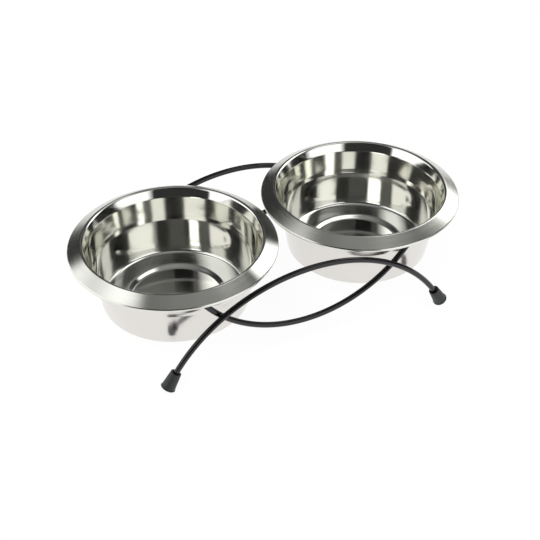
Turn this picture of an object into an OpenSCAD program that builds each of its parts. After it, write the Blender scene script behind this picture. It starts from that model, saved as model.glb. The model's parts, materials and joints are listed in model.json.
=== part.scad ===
// A raised double pet bowl: two drawn steel bowls that hang by their flanges
// in wire rings, on a stand of bent and welded round wire with rubber feet.
// Millimetres, +Z up, +X along the two bowls. The origin is on the ground,
// midway between the bowls, and -Y is the front.

/* [Bowl rim] */
// Outer diameter of the sloping flange
flange_d = 160; // [150:1:180]
// Width of the flange, seen from above, from its edge to the crest
flange_w = 10; // [8:0.5:12]
// How far in from the crest the flared mouth starts
roll_w = 1.8; // [1.8:0.1:3]
// Radius of the roll that turns the mouth over to the crest
roll_r = 2; // [1.4:0.1:2]
// How far the flange falls from the crest to its edge
flange_drop = 5.6; // [3:0.1:7]
// Height of the turned-down lip at the flange's edge
lip_h = 1.6; // [1:0.1:4]

/* [Bowl body] */
// How far the flared mouth narrows
flare_w = 2.8; // [1.5:0.1:4]
// Height of the flared mouth
flare_h = 7.2; // [5:0.2:9]
// How far the upper wall narrows from the mouth down to the step
upper_w = 3; // [1.5:0.1:4]
// How far the lower wall narrows from the step down to the base
taper_w = 4.6; // [2.5:0.1:6]
// Depth inside, from the crest to the flat ring of the floor
bowl_depth = 55.5; // [46:0.5:62]
// Width of the flat ring of the floor, from the wall to the sunk round
floor_w = 17; // [12:0.5:28]
// How far the middle of the floor is sunk
well_depth = 1.8; // [1.2:0.1:4]
// Thickness of the drawn sheet
sheet_t = 0.8; // [0.6:0.1:1.2]
// Distance from the crest down to the step in the wall
step_drop = 23; // [18:0.5:26]
// Height of the step in the wall
step_h = 3.5; // [3:0.5:6]
// How far the wall steps inwards
step_in = 0.9; // [0.6:0.1:1.6]

/* [Stand] */
// Height of the crests above the ground
crest_h = 80; // [72:1:100]
// Gap between the two flanges
flange_gap = 2; // [1:0.5:10]
// Diameter of the stand's wire
wire_d = 4.5; // [4.1:0.1:6]
// Bend radius of the two arches
arch_r = 133; // [120:1:150]
// Distance from the crests down to the top of each arch's centre line
arch_drop = 5; // [3:0.5:12]
// Bend radius of the two cradles
cradle_r = 105; // [98:1:116]
// Distance from the crests down to the lowest point of each cradle's centre line
cradle_drop = 57; // [50:0.5:62]
// How far the cradles' ends sit in from the middle of the rings' wire
cradle_in = 0.6; // [0:0.1:0.8]
// Diameter of the weld where an arch crosses a cradle
weld_d = 3.8; // [2.5:0.1:4]

/* [Feet] */
// Length of a rubber foot
foot_l = 14.5; // [12:0.5:20]
// Rubber round the wire at a foot's mouth
foot_wall = 1.85; // [1.5:0.05:3]
// How far a foot's sole stands out past its mouth
foot_flare = 1.7; // [1.2:0.1:3]
// Thickness of the lip round the sole
foot_lip_h = 0.9; // [0.5:0.1:1.5]
// How far the lip stands out from the foot's cone
foot_lip_out = 0.4; // [0.2:0.1:0.8]
// Rubber between the end of the wire and the sole
foot_sole_t = 3.5; // [2:0.5:5]
// Depth of the flat that the ground makes on each sole
sole_cut = 0.6; // [0.4:0.1:1]

/* [Fits] */
// Gap between a bowl and its ring
rest_gap = 0.3; // [0.2:0.05:0.6]
// Gap between wires that are welded together
weld_gap = 0.1; // [0.05:0.05:0.2]
// Radial gap between a foot's socket and the wire in it
socket_gap = 0.05; // [0.02:0.01:0.1]

/* [Hidden] */

// Facets of a full turn, and the turn in degrees between points of a fillet
turn_fn = 144;
wire_fn = 32;
fillet_step = 10;

// Bowl section: radii and heights from the crest's level down
flange_r = flange_d / 2;
crest_r = flange_r - flange_w;
lead_r = crest_r - roll_w;
flare_r = lead_r - flare_w;
wall_r = flare_r - upper_w;
step_r = wall_r - step_in;
base_r = step_r - taper_w;
well_r = base_r - floor_w;
flange_angle = atan2(flange_drop, flange_w);
flare_angle = atan2(flare_w, flare_h);
// Height share and radius share at which the lower wall bends in to the base
bend_h_share = 0.7;
bend_r_share = 0.66;
// Run and rounding of the well's side as shares of its depth
well_slope_share = 2.4;
well_round_share = 3.5;
bend_z = -bowl_depth + (bowl_depth - step_drop - step_h) * (1 - bend_h_share);
bend_r = step_r - (step_r - base_r) * bend_r_share;
well_slope = well_depth * well_slope_share;
// Fillet radii, measured on the inside of the bowl
crest_round = 1.6;
lip_round = 1.4;
flare_round = 6;
step_round = 5;
bend_round = 60;
base_round = 3.2;
well_round = well_depth * well_round_share;

// Inside of the sheet from the middle of the floor out to the lip, each
// corner as radius, height and fillet
bowl_path = [
    [0, -bowl_depth - well_depth, 0],
    [well_r - well_slope, -bowl_depth - well_depth, well_round],
    [well_r, -bowl_depth, well_round],
    [base_r, -bowl_depth, base_round],
    [bend_r, bend_z, bend_round],
    [step_r, -step_drop - step_h, step_round],
    [wall_r, -step_drop, step_round],
    [flare_r, -flare_h, flare_round],
    [lead_r, 0, roll_r],
    [crest_r, 0, crest_round],
    [flange_r, -flange_drop, lip_round],
    [flange_r, -flange_drop - lip_h, 0]
];

// Stand: places measured from the crests, then lifted to the ground
wire_r = wire_d / 2;
bowl_x = flange_r + flange_gap / 2;

// Ring: its wire nests in the wedge between the flared mouth and the flange.
// The wedge's edge is where their two faces would meet, above the crest.
wedge_h = roll_w / (tan(flare_angle) + 1 / tan(flange_angle));
wedge_r = lead_r + wedge_h * tan(flare_angle);
wedge_half = (flare_angle + 90 - flange_angle) / 2;
ring_seat = (sheet_t + wire_r + rest_gap) / sin(wedge_half);
ring_r = wedge_r + ring_seat * sin(wedge_half - flare_angle);
ring_z = crest_h + wedge_h - ring_seat * cos(wedge_half - flare_angle);

// Cradle: an arc hanging between the two rings, whose ends meet them from below
end_share = 0.6;
cradle_z = crest_h - cradle_drop + cradle_r;
cradle_top = ring_z - wire_r * end_share;
cradle_x = sqrt(pow(cradle_r, 2) - pow(cradle_z - cradle_top, 2));
cradle_y = sqrt(pow(ring_r, 2) - pow(cradle_x - bowl_x, 2)) - cradle_in;
cradle_angle = asin(cradle_x / cradle_r);

// Arch: an arc one wire in front of the cradle, whose ends sit in the feet.
// A leg is the middle of a foot's socket. Its angle from the arch's top puts
// the edge of the sole on the ground.
arch_y = cradle_y + wire_d + weld_gap;
arch_z = crest_h - arch_drop - arch_r;
mouth_r = wire_r + foot_wall;
sole_r = mouth_r + foot_flare;
socket_l = foot_l - foot_sole_t;
leg_l = foot_l - socket_l / 2;
leg_angle = acos((-arch_z - sole_cut) / norm([arch_r - sole_r, leg_l]))
    - atan2(leg_l, arch_r - sole_r);
leg_x = arch_r * sin(leg_angle);
leg_z = arch_z + arch_r * cos(leg_angle);
socket_angle = atan2(socket_l / 2, arch_r);
arch_angle = leg_angle + socket_angle;

// Crossing of an arch and a cradle, where the two circles meet
weld_z = (pow(arch_r, 2) - pow(cradle_r, 2) - pow(arch_z, 2) + pow(cradle_z, 2))
    / (2 * (cradle_z - arch_z));
weld_x = sqrt(pow(arch_r, 2) - pow(weld_z - arch_z, 2));
weld_y = (arch_y + cradle_y) / 2;

// Foot: collar round the wire and rounding of the sole
collar_wall = 0.8;
collar_r = mouth_r - collar_wall;
collar_l = 0.8;
foot_round = 0.5;

function unit(v) = v / norm(v);
function right_of(v) = [v[1], -v[0]];
function along(p, i) = unit([p[i + 1][0] - p[i][0], p[i + 1][1] - p[i][1]]);
function turned(v, a) = [v[0] * cos(a) - v[1] * sin(a), v[0] * sin(a) + v[1] * cos(a)];
function reversed(p) = [for (i = [len(p) - 1:-1:0]) p[i]];

// Points of the fillet at corner i of a path of [x, y, radius]
function fillet(p, i) =
    let (
        corner = [p[i][0], p[i][1]],
        before = along(p, i - 1),
        after = along(p, i),
        turn = atan2(cross(before, after), before * after),
        r = p[i][2],
        start = corner - before * r * abs(tan(turn / 2)),
        centre = start - right_of(before) * sign(turn) * r,
        steps = max(2, ceil(abs(turn) / fillet_step))
    )
    [for (k = [0:steps]) centre + turned(start - centre, turn * k / steps)];

// The path with its corners rounded
function rounded(p) = [
    for (i = [0:len(p) - 1])
        each (p[i][2] > 0 ? fillet(p, i) : [[p[i][0], p[i][1]]])
];

// The other face of a sheet of thickness t, to the right of the path
function backed(p, t) = [
    for (i = [0:len(p) - 1])
        let (
            before = along(p, max(i - 1, 0)),
            after = along(p, min(i, len(p) - 2)),
            n0 = right_of(before),
            n1 = right_of(after),
            corner = [p[i][0], p[i][1]] + t * (n0 + n1) / (1 + n0 * n1),
            r = p[i][2] > 0 ? p[i][2] + sign(cross(before, after)) * t : 0
        )
        [corner[0], corner[1], r]
];

module bowl_section() {
    polygon(concat(rounded(bowl_path), reversed(rounded(backed(bowl_path, sheet_t)))));
}

module bowl(side) {
    color("silver")
        translate([side * bowl_x, 0, crest_h])
            rotate_extrude($fn = turn_fn)
                bowl_section();
}

// The rings' wires, thicker by grow where they trim what meets them
module ring_wire(side, grow = 0) {
    translate([side * bowl_x, 0, ring_z])
        rotate_extrude($fn = turn_fn)
            translate([ring_r, 0])
                circle(r = wire_r + grow, $fn = wire_fn);
}

// An arc of wire in the plane at y, centred on z, half of it on each side of
// the direction that is turned by tilt from straight up
module wire_arc(y, z, r, half_angle, tilt, grow = 0) {
    translate([0, y, z])
        rotate([90, 0, 0])
            rotate([0, 0, 90 + tilt - half_angle])
                rotate_extrude(angle = 2 * half_angle, $fn = turn_fn)
                    translate([r, 0])
                        circle(r = wire_r + grow, $fn = wire_fn);
}

module arch_wire(end, grow = 0) {
    wire_arc(end * arch_y, arch_z, arch_r, arch_angle, 0, grow);
}

module ring(side) {
    color("dimgray")
        ring_wire(side);
}

module arch(end) {
    color("dimgray")
        arch_wire(end);
}

module cradle(end) {
    color("dimgray")
        difference() {
            union() {
                wire_arc(end * cradle_y, cradle_z, cradle_r, cradle_angle, 180);
                for (side = [-1, 1])
                    translate([side * weld_x, end * weld_y, weld_z])
                        rotate([90, 0, 0])
                            cylinder(d = weld_d, h = arch_y - cradle_y, center = true, $fn = wire_fn);
            }
            arch_wire(end, weld_gap);
            for (side = [-1, 1])
                ring_wire(side, weld_gap);
        }
}

// Half section of a foot along its axis, from the mouth to the sole
module foot_section() {
    cone_r = sole_r - foot_lip_out;
    polygon([
        [0, foot_l],
        [sole_r - foot_round, foot_l],
        [sole_r, foot_l - foot_round],
        [sole_r, foot_l - foot_lip_h],
        [cone_r, foot_l - foot_lip_h - foot_lip_out],
        [mouth_r, 0],
        [collar_r, 0],
        [collar_r - collar_l, collar_l],
        [0, collar_l]
    ]);
}

module foot(side, end) {
    color("black")
        difference() {
            translate([side * leg_x, end * arch_y, leg_z])
                rotate([0, side * (90 + leg_angle), 0])
                    translate([0, 0, -socket_l / 2])
                        rotate_extrude($fn = turn_fn)
                            foot_section();
            arch_wire(end, socket_gap);
            translate([side * leg_x, end * arch_y, -foot_l / 2])
                cube([4 * foot_l, 4 * sole_r, foot_l], center = true);
        }
}

bowl(-1);  // left_bowl
bowl(1);  // right_bowl
ring(-1);  // left_ring
ring(1);  // right_ring
arch(-1);  // front_arch
arch(1);  // rear_arch
cradle(-1);  // front_cradle
cradle(1);  // rear_cradle
foot(-1, -1);  // front_left_foot
foot(1, -1);  // front_right_foot
foot(-1, 1);  // rear_left_foot
foot(1, 1);  // rear_right_foot
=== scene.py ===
"""A raised double pet bowl: two drawn steel bowls in a stand of bent and welded black wire.

The constants come first, then the camera, the fine mesh of the bowls, the materials and the studio.
"""
import json
import math

import bpy
from mathutils import Matrix, Vector

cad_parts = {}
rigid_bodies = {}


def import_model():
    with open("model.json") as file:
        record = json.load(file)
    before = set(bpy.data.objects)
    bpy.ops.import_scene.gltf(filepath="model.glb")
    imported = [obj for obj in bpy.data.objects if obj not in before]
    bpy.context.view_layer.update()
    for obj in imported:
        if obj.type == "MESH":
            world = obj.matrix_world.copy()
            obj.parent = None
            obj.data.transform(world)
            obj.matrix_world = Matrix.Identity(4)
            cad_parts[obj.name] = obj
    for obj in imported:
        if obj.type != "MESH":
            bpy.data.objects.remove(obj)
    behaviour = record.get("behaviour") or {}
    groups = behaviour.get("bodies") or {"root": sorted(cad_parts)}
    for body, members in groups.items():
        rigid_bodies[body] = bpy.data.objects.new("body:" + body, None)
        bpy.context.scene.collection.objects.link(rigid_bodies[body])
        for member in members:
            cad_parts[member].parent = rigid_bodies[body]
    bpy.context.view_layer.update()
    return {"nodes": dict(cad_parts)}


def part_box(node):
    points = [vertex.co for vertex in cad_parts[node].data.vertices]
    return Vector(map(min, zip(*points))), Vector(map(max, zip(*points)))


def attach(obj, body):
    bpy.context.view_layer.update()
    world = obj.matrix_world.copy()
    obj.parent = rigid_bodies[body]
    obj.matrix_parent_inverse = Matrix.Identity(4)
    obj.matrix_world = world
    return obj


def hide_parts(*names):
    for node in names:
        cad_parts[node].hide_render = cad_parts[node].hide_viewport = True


MM = 0.001
MICRON = 0.000001

for leftover in list(bpy.data.objects):
    bpy.data.objects.remove(leftover)
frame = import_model()

# Camera: place and nearest sight in metres, turns in degrees, lens and sensor in millimetres
CAMERA_PLACE = (-0.2978, -0.6142, 0.5492)
CAMERA_NEAR = 0.01
CAMERA_YAW = 25.91
CAMERA_PITCH = 37.72
CAMERA_ROLL = 0.12
CAMERA_LENS = 70.6
SENSOR_WIDTH = 36.0

# Bowl: the section of the sheet in millimetres, with drops measured down from the crest
FLANGE_WIDTH = 10.0
FLANGE_DROP = 5.6
LIP_HEIGHT = 1.6
ROLL_WIDTH = 1.8
FLARE_WIDTH = 2.8
FLARE_HEIGHT = 7.2
UPPER_WIDTH = 3.0
STEP_DROP = 23.0
STEP_HEIGHT = 3.5
STEP_IN = 0.9
TAPER_WIDTH = 4.6
BOWL_DEPTH = 55.5
FLOOR_WIDTH = 17.0
WELL_DEPTH = 1.8
SHEET = 0.8

# Shares of the well's depth: the width of its side and the radius of its fillets. Shares of the
# lower wall: how far down it bends, and how much of its taper comes before that
WELL_SLOPE_SHARE = 2.4
WELL_ROUND_SHARE = 3.5
BEND_HEIGHT_SHARE = 0.7
BEND_RADIUS_SHARE = 0.66

# Fillets, in millimetres
LIP_ROUND = 1.4
EDGE_ROUND = 0.3
CREST_ROUND = 1.6
ROLL_RADIUS = 2.0
FLARE_ROUND = 6.0
STEP_ROUND = 5.0
BEND_ROUND = 60.0
BASE_ROUND = 3.2

# Mesh of a bowl: the base's number among the section's corners, sides round, the most that one span
# of a fillet turns, the fewest spans in a fillet, the millimetres and decimals within which two
# points are one, and what share of its drop adds to a point's reach in the search for the lip's foot
BASE_CORNER = 3
BOWL_TURNS = 240
ARC_STEP = math.radians(4)
ARC_LEAST = 3
SAME_POINT = 1e-7
SAME_DECIMALS = 6
LOW_COUNTS = 0.001

# Where the finishes of a bowl end: the satin this far inside the crest's outer corner, and the
# brushed floor this near its level and this many base fillets inside the base's corner
SATIN_REACH = 0.6
FLOOR_FLAT = 0.2
FLOOR_REACH = 2.2

# The finishes in the order of a bowl's material slots
INSIDE, FLANGE, OUTSIDE, FLOOR = range(4)

# Polished steel: smooth and rough are the roughness that its patches lie between, wave is in microns
MIRROR_STEEL = {"colour": (0.848, 0.8465, 0.806), "smooth": 0.058, "rough": 0.1, "wave": 30}
OUTSIDE_STEEL = {"colour": (0.755, 0.733, 0.702), "smooth": 0.15, "rough": 0.2, "wave": 10}

# Brushed steel
FLANGE_STEEL = {"colour": (0.763, 0.768, 0.713), "roughness": 0.19, "anisotropy": 0.85}
FLOOR_STEEL = {"colour": (0.658, 0.664, 0.63), "roughness": 0.19, "anisotropy": 0.5}

# Coating and rubber: least and most are the roughness that the grain lies between, scale is in
# noise cells a metre, depth is in microns
WIRE_COATING = {
    "colour": (0.005, 0.005, 0.0055), "roughness": 0.12, "least": 0.09, "most": 0.16,
    "scale": 1100.0, "detail": 2.0, "depth": 6,
}
FOOT_RUBBER = {
    "colour": (0.017, 0.0205, 0.0195), "roughness": 0.5, "least": 0.38, "most": 0.56,
    "scale": 2200.0, "detail": 3.0, "depth": 20,
}

# Marks on the steel: scales in noise cells a metre, or along (turn in radians, radius, height) for
# the marks that run round a bowl; depths in microns; and the spread and turn of the brushed shine
PATCH_SCALE = 55.0
WAVE_SCALE = 38.0
MOP_SCALE = (3.0, 900.0, 900.0)
MOP_DEPTH = 0.6
BRUSH_SCALE = (1.5, 2600.0, 2600.0)
BRUSH_DEPTH = 4
BRUSH_SPREAD = 0.04
BRUSH_TURN = 0.25

# The part of a noise's range that counts
NOISE_LOW = 0.3
PATCH_LOW = 0.35
NOISE_HIGH = 0.7

# Studio: lengths in metres, strengths where 1 is white, and the lamp's power in watts
RIM_HEIGHT = 0.08
LAMP_PLACE = (-0.9, -0.7, 1.5)
LAMP_SIZE = 1.2
LAMP_POWER = 9.0
SOFT_LIGHT = 0.75
GLOSSY_BOUNCES = 12

# The floor, a hair under the feet: the camera and gloss see it glow, but for a share of its shading
FLOOR_SIZE = 8.0
FLOOR_DROP = 0.0001
FLOOR_COLOUR = (0.9, 0.9, 0.9)
FLOOR_GLOW = 1.05
SHADOW_SHARE = 0.12

# The dim room in reflections: ROOM_LOW up to where the sine of the elevation is ROOM_TURN, and from
# there rising to ROOM_HIGH overhead
ROOM_LOW = 0.03
ROOM_HIGH = 0.14
ROOM_TURN = 0.75

# Upright cards: name, azimuth from the camera's heading, distance, width, bottom and top above the
# rims, strength, edge
CARDS = [
    ("left_softbox", 262, 0.8, 1.17, -0.07, 0.64, 1.3, 0.03),
    ("left_upper_softbox", 262, 0.37, 0.41, 0.25, 0.75, 1.4, 0.12),
    ("right_rear_softbox", 54, 0.38, 0.21, 0.045, 0.45, 2.2, 0.015),
    ("right_gap_card", 83, 0.8, 0.45, 0.2, 0.75, 0.13, 0.05),
    ("right_front_softbox", 129, 0.86, 0.8, -0.07, 0.97, 1.25, 0.07),
    ("camera_side_card", 194, 0.8, 0.48, 0.36, 1.9, 0.008, 0.03),
    ("rear_card", 2, 0.8, 0.72, 0.42, 1.35, 0.1, 0.1),
]

# Level cards: name, azimuth, distance, width, depth, height above the rims, strength, edge
CEILING_CARDS = [
    ("front_ceiling_card", 90, 0.15, 1.2, 1.2, 1.4, 0.25, 0.35),
    ("rear_ceiling_card", 45, 0.5, 0.4, 0.42, 1.0, 1.4, 0.05),
]


def linked(name, data):
    """A new object in the scene."""
    obj = bpy.data.objects.new(name, data)
    bpy.context.scene.collection.objects.link(obj)
    return obj


def camera():
    """The camera as the photograph was taken."""
    data = bpy.data.cameras.new("camera")
    data.sensor_width = SENSOR_WIDTH
    data.lens = CAMERA_LENS
    data.clip_start = CAMERA_NEAR
    obj = linked("camera", data)
    obj.matrix_world = (
        Matrix.Translation(CAMERA_PLACE)
        @ Matrix.Rotation(math.radians(-CAMERA_YAW), 4, "Z")
        @ Matrix.Rotation(math.radians(90 - CAMERA_PITCH), 4, "X")
        @ Matrix.Rotation(math.radians(CAMERA_ROLL), 4, "Z")
    )
    bpy.context.scene.camera = obj


def unit(v):
    return v / v.length


def right_of(v):
    return Vector((v[1], -v[0]))


def turned(v, angle):
    c, s = math.cos(angle), math.sin(angle)
    return Vector((v[0] * c - v[1] * s, v[0] * s + v[1] * c))


def path_spans(corners):
    """Spans along a path of (x, z, fillet) corners.

    A span is (point, normal, next point, next normal), with the normals to the path's left.
    """
    points = [Vector(c[:2]) for c in corners]
    spans = []
    start = points[0]
    for i in range(1, len(points)):
        before = unit(points[i] - points[i - 1])
        left = -right_of(before)
        radius = corners[i][2]
        if i == len(points) - 1 or radius <= 0:
            spans.append((start, left, points[i], left))
            start = points[i]
            continue
        after = unit(points[i + 1] - points[i])
        turn = math.atan2(before.cross(after), before.dot(after))
        cut = radius * abs(math.tan(turn / 2))
        arc_start = points[i] - before * cut
        spans.append((start, left, arc_start, left))
        centre = arc_start + left * math.copysign(radius, turn)
        steps = max(ARC_LEAST, math.ceil(abs(turn) / ARC_STEP))
        place, normal = arc_start, left
        for k in range(1, steps + 1):
            angle = turn * k / steps
            next_place = centre + turned(arc_start - centre, angle)
            next_normal = turned(left, angle)
            spans.append((place, normal, next_place, next_normal))
            place, normal = next_place, next_normal
        start = place
    return spans


def backed(corners, thickness):
    """The corners of the sheet's other face, to the right of the path."""
    points = [Vector(c[:2]) for c in corners]
    ways = [unit(b - a) for a, b in zip(points, points[1:])]
    result = []
    for i, (_, _, radius) in enumerate(corners):
        before, after = ways[max(i - 1, 0)], ways[min(i, len(ways) - 1)]
        n0, n1 = right_of(before), right_of(after)
        place = points[i] + (n0 + n1) * (thickness / (1 + n0.dot(n1)))
        if radius > 0:
            radius += math.copysign(thickness, before.cross(after))
        result.append((place[0], place[1], radius))
    return result


def bowl_corners(flange_radius):
    """The inside of the sheet as (radius, height from the crest, fillet), in millimetres."""
    crest_r = flange_radius - FLANGE_WIDTH
    lead_r = crest_r - ROLL_WIDTH
    flare_r = lead_r - FLARE_WIDTH
    wall_r = flare_r - UPPER_WIDTH
    step_r = wall_r - STEP_IN
    base_r = step_r - TAPER_WIDTH
    well_r = base_r - FLOOR_WIDTH
    step_z = -STEP_DROP - STEP_HEIGHT
    bend_r = step_r - TAPER_WIDTH * BEND_RADIUS_SHARE
    bend_z = -BOWL_DEPTH + (BOWL_DEPTH + step_z) * (1 - BEND_HEIGHT_SHARE)
    well_z = -BOWL_DEPTH - WELL_DEPTH
    well_round = WELL_DEPTH * WELL_ROUND_SHARE
    return [
        (0, well_z, 0),
        (well_r - WELL_DEPTH * WELL_SLOPE_SHARE, well_z, well_round),
        (well_r, -BOWL_DEPTH, well_round),
        (base_r, -BOWL_DEPTH, BASE_ROUND),
        (bend_r, bend_z, BEND_ROUND),
        (step_r, step_z, STEP_ROUND),
        (wall_r, -STEP_DROP, STEP_ROUND),
        (flare_r, -FLARE_HEIGHT, FLARE_ROUND),
        (lead_r, 0, ROLL_RADIUS),
        (crest_r, 0, CREST_ROUND),
        (flange_radius, -FLANGE_DROP, LIP_ROUND),
        (flange_radius, -FLANGE_DROP - LIP_HEIGHT, 0),
    ]


def lathe(name, spans, finishes, turns):
    """A mesh of revolution round Z, with the normals that its spans give.

    The spans are in millimetres, and finishes holds the material slot of each.
    """
    vertices, faces, normals, indices = [], [], [], []
    rings = {}

    def ring(place):
        """The vertex numbers of the ring at a place, made once."""
        key = (round(place[0], SAME_DECIMALS), round(place[1], SAME_DECIMALS))
        if key in rings:
            return rings[key]
        first = len(vertices)
        radius, height = place[0] * MM, place[1] * MM
        if key[0] <= 0:
            vertices.append((0, 0, height))
            rings[key] = [first] * turns
        else:
            for k in range(turns):
                angle = 2 * math.pi * k / turns
                vertices.append((radius * math.cos(angle), radius * math.sin(angle), height))
            rings[key] = list(range(first, first + turns))
        return rings[key]

    for (a, na, b, nb), finish in zip(spans, finishes):
        if (a - b).length < SAME_POINT:
            continue
        low, high = ring(a), ring(b)
        for k in range(turns):
            m = (k + 1) % turns
            corners = [(low[k], na, k), (high[k], nb, k), (high[m], nb, k + 1), (low[m], na, k + 1)]
            if low[k] == low[m]:
                corners = [(low[k], na, k + 0.5), corners[1], corners[2]]
            elif high[k] == high[m]:
                corners = [corners[0], (high[k], nb, k + 0.5), corners[3]]
            faces.append([number for number, _, _ in corners])
            indices.append(finish)
            for _, n, turn in corners:
                angle = 2 * math.pi * turn / turns
                normals.append((n[0] * math.cos(angle), n[0] * math.sin(angle), n[1]))
    mesh = bpy.data.meshes.new(name)
    mesh.from_pydata(vertices, [], faces)
    mesh.polygons.foreach_set("use_smooth", [True] * len(faces))
    mesh.polygons.foreach_set("material_index", indices)
    mesh.normals_split_custom_set(normals)
    mesh.update()
    return linked(name, mesh)


def bowl_finishes(spans, crest_r, base_r):
    """The finish of each span of a bowl's section, which turns outside at the foot of the lip."""
    lip = max(range(len(spans)), key=lambda i: spans[i][2][0] - spans[i][2][1] * LOW_COUNTS)
    finishes = []
    for i, (start, _, end, _) in enumerate(spans):
        middle = (start + end) / 2
        if i > lip:
            finishes.append(OUTSIDE)
        elif middle[0] > crest_r - SATIN_REACH:
            finishes.append(FLANGE)
        elif abs(middle[1] + BOWL_DEPTH) < FLOOR_FLAT and middle[0] < base_r - BASE_ROUND * FLOOR_REACH:
            finishes.append(FLOOR)
        else:
            finishes.append(INSIDE)
    return finishes


def bowl(body, steels):
    """A drawn bowl as one closed sheet, in place of its CAD node."""
    low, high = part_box(body)
    flange_radius = (high.x - low.x) / 2 / MM
    inside = bowl_corners(flange_radius)
    outside = backed(inside, SHEET)
    edge = [(*inside[-1][:2], EDGE_ROUND), (*outside[-1][:2], EDGE_ROUND)]
    spans = path_spans(inside[:-1] + edge + outside[-2::-1])
    finishes = bowl_finishes(spans, flange_radius - FLANGE_WIDTH, inside[BASE_CORNER][0])
    obj = lathe(f"{body}_shell", spans, finishes, BOWL_TURNS)
    for steel in steels:
        obj.data.materials.append(steel)
    obj.location = ((low.x + high.x) / 2, (low.y + high.y) / 2, high.z)
    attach(obj, body)
    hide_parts(body)


def material(name, colour, metallic, roughness):
    """A material with its Principled shader: (material, nodes, links, shader)."""
    made = bpy.data.materials.new(name)
    made.use_nodes = True
    nodes, links = made.node_tree.nodes, made.node_tree.links
    shader = nodes["Principled BSDF"]
    shader.inputs["Base Color"].default_value = (*colour, 1)
    shader.inputs["Metallic"].default_value = metallic
    shader.inputs["Roughness"].default_value = roughness
    return made, nodes, links, shader


def object_place(nodes):
    """The coordinates that stay with an object."""
    return nodes.new("ShaderNodeTexCoord").outputs["Object"]


def computed(nodes, links, operation, *values):
    """The result of a calculation with numbers or sockets."""
    node = nodes.new("ShaderNodeMath")
    node.operation = operation
    for socket, value in zip(node.inputs, values):
        if isinstance(value, (int, float)):
            socket.default_value = value
        else:
            links.new(value, socket)
    return node.outputs[0]


def stretched(nodes, links, vector, scale):
    """A vector scaled by three numbers."""
    node = nodes.new("ShaderNodeVectorMath")
    node.operation = "MULTIPLY"
    node.inputs[1].default_value = scale
    links.new(vector, node.inputs[0])
    return node.outputs["Vector"]


def noise(nodes, links, vector, scale, detail, roughness=0.5):
    """A noise texture's factor over a vector socket."""
    node = nodes.new("ShaderNodeTexNoise")
    node.inputs["Scale"].default_value = scale
    node.inputs["Detail"].default_value = detail
    node.inputs["Roughness"].default_value = roughness
    links.new(vector, node.inputs["Vector"])
    return node.outputs[0]


def mapped(nodes, links, value, low, high, out_low, out_high):
    """A value from one range mapped to another, and held inside it."""
    node = nodes.new("ShaderNodeMapRange")
    node.inputs["From Min"].default_value = low
    node.inputs["From Max"].default_value = high
    node.inputs["To Min"].default_value = out_low
    node.inputs["To Max"].default_value = out_high
    links.new(value, node.inputs["Value"])
    return node.outputs["Result"]


def bump(nodes, links, shader, height, depth, before=None):
    """Raises a shader's surface by height times depth, in microns."""
    node = nodes.new("ShaderNodeBump")
    node.inputs["Strength"].default_value = 1.0
    node.inputs["Distance"].default_value = depth * MICRON
    links.new(height, node.inputs["Height"])
    if before is not None:
        links.new(before, node.inputs["Normal"])
    links.new(node.outputs["Normal"], shader.inputs["Normal"])
    return node.outputs["Normal"]


def round_coordinates(nodes, links, place):
    """Object coordinates as (turn, radius, height), for marks that run round a bowl."""
    parts = nodes.new("ShaderNodeSeparateXYZ")
    links.new(place, parts.inputs[0])
    radius = nodes.new("ShaderNodeVectorMath")
    radius.operation = "LENGTH"
    links.new(stretched(nodes, links, place, (1, 1, 0)), radius.inputs[0])
    joined = nodes.new("ShaderNodeCombineXYZ")
    turn = computed(nodes, links, "ARCTAN2", parts.outputs["Y"], parts.outputs["X"])
    links.new(turn, joined.inputs["X"])
    links.new(radius.outputs["Value"], joined.inputs["Y"])
    links.new(parts.outputs["Z"], joined.inputs["Z"])
    return joined.outputs["Vector"]


def round_noise(nodes, links, place, scale, detail, roughness=0.5):
    """A noise whose cells run round a bowl."""
    round_place = round_coordinates(nodes, links, place)
    return noise(nodes, links, stretched(nodes, links, round_place, scale), 1.0, detail, roughness)


def mirror_steel(name, colour, smooth, rough, wave):
    """Polished sheet: slow waves from the drawing, and faint rings left by the polishing mop."""
    made, nodes, links, shader = material(name, colour, metallic=1.0, roughness=smooth)
    place = object_place(nodes)
    patches = noise(nodes, links, place, PATCH_SCALE, detail=3.0)
    patched = mapped(nodes, links, patches, PATCH_LOW, NOISE_HIGH, smooth, rough)
    links.new(patched, shader.inputs["Roughness"])
    waves = noise(nodes, links, place, WAVE_SCALE, detail=1.0)
    waved = bump(nodes, links, shader, waves, wave)
    rings = round_noise(nodes, links, place, MOP_SCALE, detail=3.0)
    bump(nodes, links, shader, rings, MOP_DEPTH, waved)
    return made


def satin_steel(name, colour, roughness, anisotropy):
    """Steel brushed round and round, so that it shines in a fan."""
    made, nodes, links, shader = material(name, colour, metallic=1.0, roughness=roughness)
    shader.inputs["Anisotropic"].default_value = anisotropy
    shader.inputs["Anisotropic Rotation"].default_value = BRUSH_TURN
    tangent = nodes.new("ShaderNodeTangent")
    tangent.direction_type = "RADIAL"
    tangent.axis = "Z"
    links.new(tangent.outputs["Tangent"], shader.inputs["Tangent"])
    place = object_place(nodes)
    lines = round_noise(nodes, links, place, BRUSH_SCALE, detail=4.0, roughness=0.7)
    least, most = roughness - BRUSH_SPREAD, roughness + BRUSH_SPREAD
    brushed = mapped(nodes, links, lines, NOISE_LOW, NOISE_HIGH, least, most)
    links.new(brushed, shader.inputs["Roughness"])
    bump(nodes, links, shader, lines, BRUSH_DEPTH)
    return made


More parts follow.
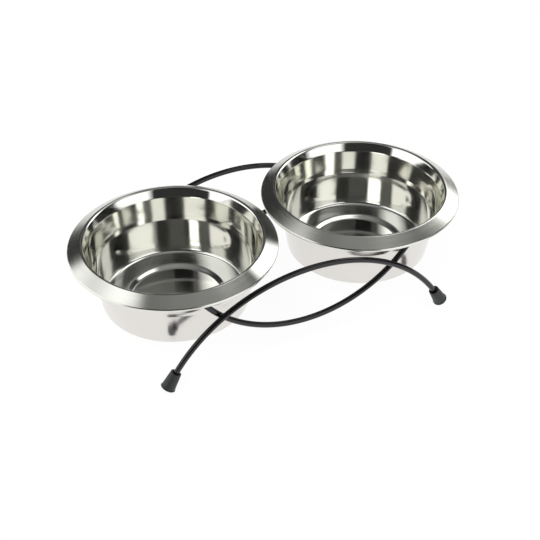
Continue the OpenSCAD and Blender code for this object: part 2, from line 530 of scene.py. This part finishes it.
def grained(name, colour, roughness, least, most, scale, detail, depth):
    """The coating of the wire with its fine orange peel, or matt moulded rubber with its grain."""
    made, nodes, links, shader = material(name, colour, metallic=0.0, roughness=roughness)
    grain = noise(nodes, links, object_place(nodes), scale, detail)
    spread = mapped(nodes, links, grain, NOISE_LOW, NOISE_HIGH, least, most)
    links.new(spread, shader.inputs["Roughness"])
    bump(nodes, links, shader, grain, depth)
    return made


def dress(node, made):
    """Gives a CAD node its material."""
    obj = frame["nodes"][node]
    obj.data.materials.clear()
    obj.data.materials.append(made)


def emptied(owner):
    """The nodes and links of a new material or world, with nothing in them."""
    owner.use_nodes = True
    owner.node_tree.nodes.clear()
    return owner.node_tree.nodes, owner.node_tree.links


def mixed(nodes, links, share, first, second):
    """Two shaders mixed, with share of the second."""
    node = nodes.new("ShaderNodeMixShader")
    links.new(share, node.inputs["Fac"])
    links.new(first, node.inputs[1])
    links.new(second, node.inputs[2])
    return node.outputs[0]


def glow(nodes, strength):
    """Plain white light."""
    node = nodes.new("ShaderNodeEmission")
    node.inputs["Strength"].default_value = strength
    return node.outputs[0]


def background(nodes, strength):
    """The plain white background of a world."""
    node = nodes.new("ShaderNodeBackground")
    node.inputs["Color"].default_value = (1, 1, 1, 1)
    node.inputs["Strength"].default_value = strength
    return node


def flat_sheet(name, half_w, half_h):
    """A level rectangle with an empty material: (object, nodes, links)."""
    corners = [(-half_w, -half_h, 0), (half_w, -half_h, 0), (half_w, half_h, 0), (-half_w, half_h, 0)]
    mesh = bpy.data.meshes.new(name)
    mesh.from_pydata(corners, [], [(0, 1, 2, 3)])
    made = bpy.data.materials.new(name)
    mesh.materials.append(made)
    return linked(name, mesh), *emptied(made)


def only_in_reflections(obj):
    """Lets only polished metal and gloss show a card, which lights nothing."""
    obj.visible_camera = False
    obj.visible_diffuse = False
    obj.visible_transmission = False
    obj.visible_volume_scatter = False
    obj.visible_shadow = False


def bearing(azimuth):
    """Level directions (outward, across) at an azimuth clockwise from the camera's heading."""
    turn = math.radians(azimuth + CAMERA_YAW)
    return Vector((math.sin(turn), math.cos(turn), 0)), Vector((math.cos(turn), -math.sin(turn), 0))


def card(name, place, across, upward, width, height, strength, edge):
    """A glowing card with soft edges, flat in the directions across and upward."""
    half_w, half_h = width / 2 + edge, height / 2 + edge
    obj, nodes, links = flat_sheet(name, half_w, half_h)
    obj.matrix_world = Matrix((across, upward, across.cross(upward))).transposed().to_4x4()
    obj.location = place
    parts = nodes.new("ShaderNodeSeparateXYZ")
    links.new(object_place(nodes), parts.inputs[0])
    edges = []
    for axis, half in (("X", half_w), ("Y", half_h)):
        away = computed(nodes, links, "ABSOLUTE", parts.outputs[axis])
        edges.append(mapped(nodes, links, away, half - 2 * edge, half, 1, 0))
    inside = computed(nodes, links, "MULTIPLY", *edges)
    clear = nodes.new("ShaderNodeBsdfTransparent").outputs[0]
    surface = mixed(nodes, links, inside, clear, glow(nodes, strength))
    links.new(surface, nodes.new("ShaderNodeOutputMaterial").inputs["Surface"])
    only_in_reflections(obj)


def upright_card(name, azimuth, distance, width, bottom, top, strength, edge):
    """A card that stands upright and faces the middle of the bowls."""
    outward, across = bearing(azimuth)
    place = outward * distance + Vector((0, 0, RIM_HEIGHT + (bottom + top) / 2))
    card(name, place, across, Vector((0, 0, 1)), width, top - bottom, strength, edge)


def ceiling_card(name, azimuth, distance, width, depth, height, strength, edge):
    """A card that hangs level overhead."""
    outward, across = bearing(azimuth)
    place = outward * distance + Vector((0, 0, RIM_HEIGHT + height))
    card(name, place, across, outward, width, depth, strength, edge)


def floor():
    """A plain pale floor with the object's shadow, which the camera and gloss see nearly white."""
    obj, nodes, links = flat_sheet("floor", FLOOR_SIZE / 2, FLOOR_SIZE / 2)
    obj.location.z = -FLOOR_DROP
    seen = nodes.new("ShaderNodeLightPath").outputs
    either = computed(nodes, links, "MAXIMUM", seen["Is Camera Ray"], seen["Is Glossy Ray"])
    share = computed(nodes, links, "MULTIPLY", either, 1 - SHADOW_SHARE)
    pale = nodes.new("ShaderNodeBsdfDiffuse")
    pale.inputs["Color"].default_value = (*FLOOR_COLOUR, 1)
    surface = mixed(nodes, links, share, pale.outputs[0], glow(nodes, FLOOR_GLOW))
    links.new(surface, nodes.new("ShaderNodeOutputMaterial").inputs["Surface"])


def world():
    """White to the camera, soft light on what is matt, and a dim room to what is polished."""
    made = bpy.data.worlds.new("studio")
    bpy.context.scene.world = made
    nodes, links = emptied(made)
    seen = nodes.new("ShaderNodeLightPath").outputs
    way = nodes.new("ShaderNodeSeparateXYZ")
    links.new(nodes.new("ShaderNodeTexCoord").outputs["Generated"], way.inputs[0])
    room = background(nodes, ROOM_LOW)
    overhead = mapped(nodes, links, way.outputs["Z"], ROOM_TURN, 1.0, ROOM_LOW, ROOM_HIGH)
    links.new(overhead, room.inputs["Strength"])
    soft = background(nodes, SOFT_LIGHT).outputs[0]
    lit = mixed(nodes, links, seen["Is Glossy Ray"], soft, room.outputs[0])
    white = background(nodes, 1.0).outputs[0]
    surface = mixed(nodes, links, seen["Is Camera Ray"], lit, white)
    links.new(surface, nodes.new("ShaderNodeOutputWorld").inputs["Surface"])


def lamp():
    """One wide soft lamp above the camera's left, for the form of what is matt."""
    data = bpy.data.lights.new("lamp", "AREA")
    data.shape = "DISK"
    data.size = LAMP_SIZE
    data.energy = LAMP_POWER
    obj = linked("lamp", data)
    obj.location = LAMP_PLACE
    obj.rotation_euler = (-Vector(LAMP_PLACE)).to_track_quat("-Z", "Y").to_euler()
    obj.visible_glossy = False


camera()
steels = [
    mirror_steel("mirror_steel", **MIRROR_STEEL),
    satin_steel("flange_steel", **FLANGE_STEEL),
    mirror_steel("outside_steel", **OUTSIDE_STEEL),
    satin_steel("floor_steel", **FLOOR_STEEL),
]
for body in ("left_bowl", "right_bowl"):
    bowl(body, steels)
wire = grained("black_coating", **WIRE_COATING)
rubber = grained("black_rubber", **FOOT_RUBBER)
for node in frame["nodes"]:
    if node.endswith(("_ring", "_arch", "_cradle")):
        dress(node, wire)
    elif node.endswith("_foot"):
        dress(node, rubber)
for values in CARDS:
    upright_card(*values)
for values in CEILING_CARDS:
    ceiling_card(*values)
floor()
world()
lamp()

scene = bpy.context.scene
scene.view_settings.view_transform = "Standard"
scene.cycles.glossy_bounces = GLOSSY_BOUNCES
